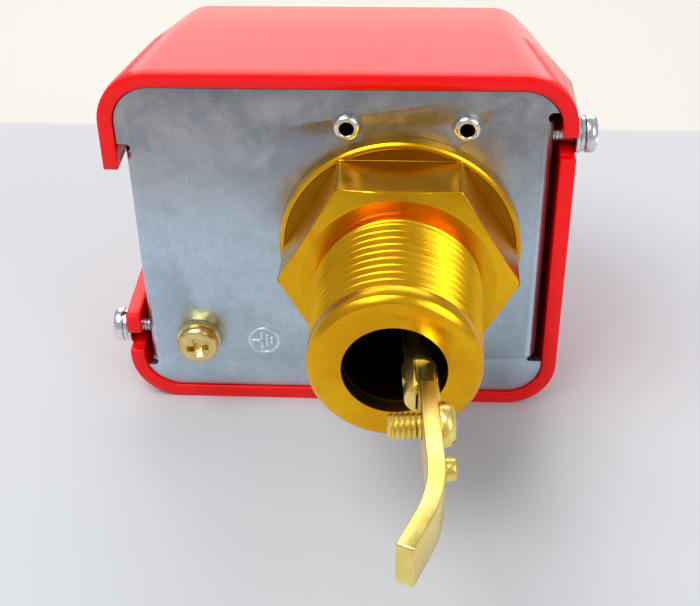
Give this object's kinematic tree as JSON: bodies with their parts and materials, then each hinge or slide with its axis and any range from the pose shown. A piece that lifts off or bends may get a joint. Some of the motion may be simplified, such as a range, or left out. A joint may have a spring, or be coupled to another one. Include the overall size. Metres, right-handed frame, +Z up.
{
  "type": "paddle flow switch",
  "caption": "Paddle flow switch with a hexagon pipe fitting, bent paddle arm, red moulded cover and a snap switch behind a bellows.",
  "frame": {"origin": "on the pipe thread's axis, at the shoulder where the thread meets the hexagon", "axes": "-Y out of the nipple towards the pipe, +Y into the housing, +Z up as the part lies on the long side of its cover, +X away from the cable entry"},
  "size_m": [0.1038, 0.1463, 0.0805],
  "materials": {
    "cover_red": "glossy moulded plastic",
    "zinc_sheet": "bluish zinc plating on rolled sheet",
    "rivet_steel": "plated steel, rolled",
    "fitting_brass": "turned brass, bright",
    "bellows_bronze": "thin rolled bronze",
    "arm_brass": "sheared and milled brass, satin",
    "plated_screw": "bright zinc plating",
    "yellow_zinc": "yellow passivated plating",
    "spring_steel": "bright drawn steel",
    "switch_black": "moulded thermoset, matt",
    "switch_lid": "moulded thermoset, matt",
    "plunger_red": "moulded plastic pin",
    "terminal_brass": "nickel-free brass strip"
  },
  "bodies": {
    "base": {"base_plate": "zinc_sheet", "pipe_fitting": "fitting_brass", "fitting_flange": "fitting_brass", "fitting_lock_ring": "fitting_brass", "bellows_seat": "fitting_brass", "bellows": "bellows_bronze", "frame_rivets": "rivet_steel", "switch_bracket": "zinc_sheet", "spring_bracket": "zinc_sheet", "frame_posts": "spring_steel", "post_screws": "spring_steel", "pivot_pin": "spring_steel", "pivot_clips": "spring_steel", "pivot_spacers": "spring_steel", "earth_screw": "yellow_zinc", "earth_washer": "yellow_zinc", "earth_nut": "yellow_zinc", "cover_flat_washers": "plated_screw", "cover_spring_washers": "plated_screw", "cover_screw_right": "plated_screw", "cover_screw_left": "plated_screw", "cover_nuts": "spring_steel", "switch_case": "switch_black", "switch_lid": "switch_lid", "contact_blade": "terminal_brass", "switch_screws": "spring_steel", "switch_nuts": "spring_steel", "terminal_tabs": "terminal_brass", "terminal_clamps": "terminal_brass", "terminal_screws": "terminal_brass", "range_spring": "spring_steel"},
    "arm": {"lever_rod": "arm_brass", "paddle_bar": "arm_brass", "bar_rivet": "arm_brass", "paddle_screw": "arm_brass", "locating_pin": "arm_brass", "bellows_collar": "bellows_bronze", "lever_plate": "spring_steel", "lever_screw": "spring_steel", "lever_nut": "spring_steel", "trip_screw": "spring_steel", "trip_lock_nut": "spring_steel"},
    "plunger": {"switch_plunger": "plunger_red"},
    "adjuster": {"range_screw": "spring_steel", "range_clip": "spring_steel"},
    "adjuster_nut": {"spring_nut": "spring_steel"},
    "cap": {"cover": "cover_red"}
  },
  "joints": [
    {"name": "arm_swing", "type": "hinge", "parent": "base", "child": "arm", "pos_m": [0, 0.029, 0], "axis": [0, 0, 1], "range_deg": [-9.2, 0], "stiffness_Nm_per_rad": 0.5, "springref_deg": 6.88, "deforming": ["bellows", "range_spring"]},
    {"name": "plunger_travel", "type": "slide", "parent": "base", "child": "plunger", "axis": [1, 0, 0], "range_m": [0, 0.002], "deforming": ["contact_blade"]},
    {"name": "range_screw_turn", "type": "hinge", "parent": "base", "child": "adjuster", "pos_m": [0.015, 0.049, 0], "axis": [1, 0, 0], "range_deg": [-720.1, 720.1]},
    {"name": "range_nut_slide", "type": "slide", "parent": "base", "child": "adjuster_nut", "axis": [1, 0, 0], "range_m": [-0.0016, 0.0016]},
    {"name": "cover_slide", "type": "slide", "parent": "base", "child": "cap", "axis": [0, 1, 0], "range_m": [0, 0.065]}
  ],
  "couplings": [
    {"joint": "plunger_travel", "follows": "arm_swing", "m_per_rad": -0.012},
    {"joint": "range_screw_turn", "follows": "range_nut_slide", "rad_per_m": 7854}
  ]
}
